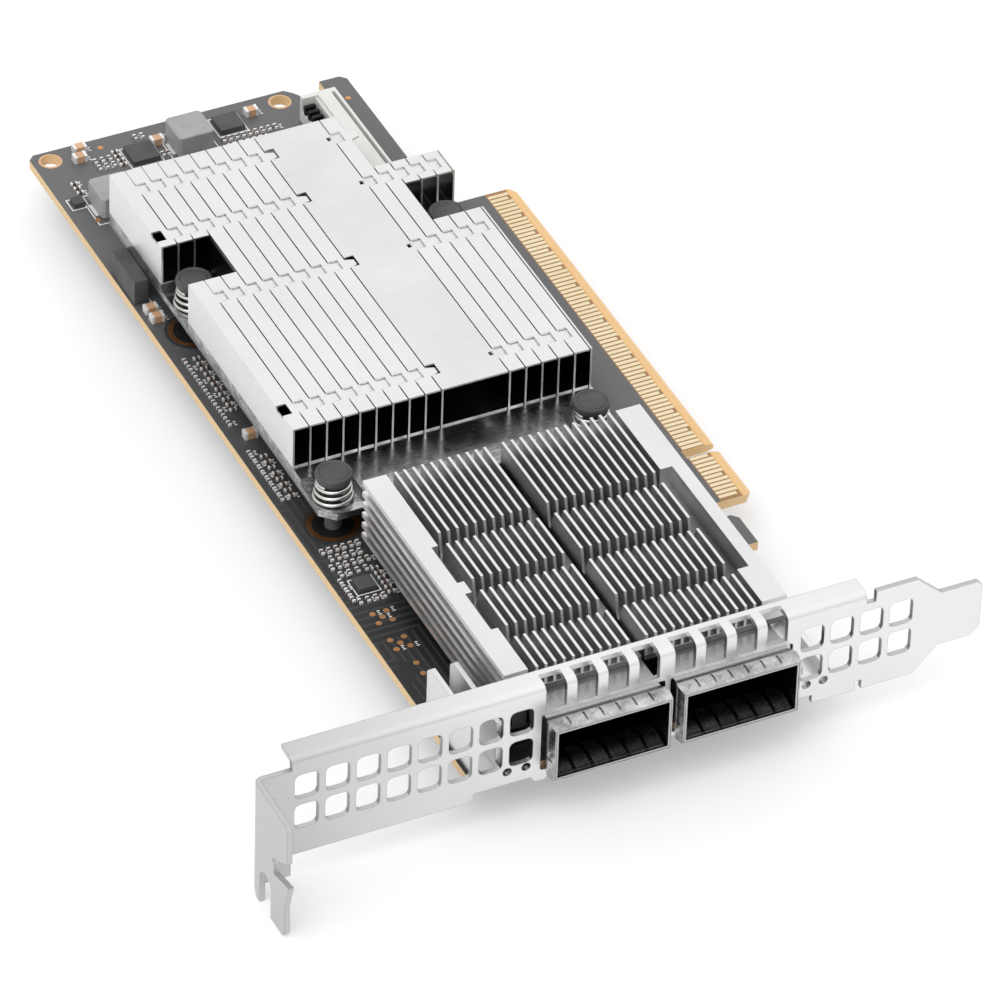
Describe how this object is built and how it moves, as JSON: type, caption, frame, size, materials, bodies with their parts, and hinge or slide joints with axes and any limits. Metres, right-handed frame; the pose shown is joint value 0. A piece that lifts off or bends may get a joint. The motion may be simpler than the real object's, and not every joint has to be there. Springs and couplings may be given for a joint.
{
  "type": "ethernet adapter card",
  "caption": "Network adapter card with a tall slot bracket, finned heatsinks over its chip and ports, spring screws and a gold edge connector.",
  "frame": {"origin": "centre of the key notch, on the outer edge of the edge connector and halfway through the board", "axes": "+X points out of the edge connector into its slot, +Y runs from the bracket along the card to its far end, +Z points out of the component side"},
  "size_m": [0.12, 0.181, 0.0237],
  "materials": {
    "board_laminate": "solder mask over laminate",
    "gold_contact": "gold plated",
    "bare_copper": "bare copper",
    "sink_aluminium": "rolled sheet",
    "base_metal": "milled and nickel plated",
    "port_sink_aluminium": "milled",
    "bracket_steel": "bright plated sheet steel",
    "cage_steel": "plated",
    "collar_steel": "sprung stainless sheet",
    "spring_steel": "spring wire",
    "fastener_steel": "zinc plated",
    "black_plastic": "moulded",
    "white_plastic": "moulded",
    "contact_metal": "plated spring strip",
    "chip_package": "moulded compound",
    "heat_pad_grey": "soft filled pad",
    "ferrite": "pressed powder",
    "ceramic_tan": "fired",
    "solder": "tinned"
  },
  "bodies": {
    "root": {"aux_connector": "white_plastic", "aux_pins": "contact_metal", "base_plate": "base_metal", "big_capacitor_ends": "solder", "big_capacitors": "ceramic_tan", "bracket": "bracket_steel", "centre_channel": "sink_aluminium", "circuit_board": "board_laminate", "coil_springs": "spring_steel", "edge_contacts_bottom": "gold_contact", "edge_contacts_top": "gold_contact", "end_fin": "sink_aluminium", "fin_01": "sink_aluminium", "fin_02": "sink_aluminium", "fin_03": "sink_aluminium", "fin_04": "sink_aluminium", "fin_05": "sink_aluminium", "fin_06": "sink_aluminium", "fin_07": "sink_aluminium", "fin_08": "sink_aluminium", "fin_09": "sink_aluminium", "fin_11": "sink_aluminium", "fin_12": "sink_aluminium", "fin_13": "sink_aluminium", "fin_14": "sink_aluminium", "fin_15": "sink_aluminium", "foot_nuts": "fastener_steel", "foot_screws": "fastener_steel", "heat_pad": "heat_pad_grey", "inductor_terminals": "solder", "inductors": "ferrite", "keep_out_rings": "bare_copper", "left_port_cage": "cage_steel", "left_port_collar": "collar_steel", "left_port_connector": "black_plastic", "left_port_contacts": "contact_metal", "left_port_heatsink": "port_sink_aluminium", "mounting_rings": "gold_contact", "network_chip": "chip_package", "passive_ends": "solder", "passives": "ceramic_tan", "power_stages": "chip_package", "rear_passives": "ceramic_tan", "right_port_cage": "cage_steel", "right_port_collar": "collar_steel", "right_port_connector": "black_plastic", "right_port_contacts": "contact_metal", "right_port_heatsink": "port_sink_aluminium", "small_chips": "chip_package", "spring_screws": "black_plastic", "tall_block": "chip_package", "test_pads": "gold_contact"}
  },
  "joints": []
}
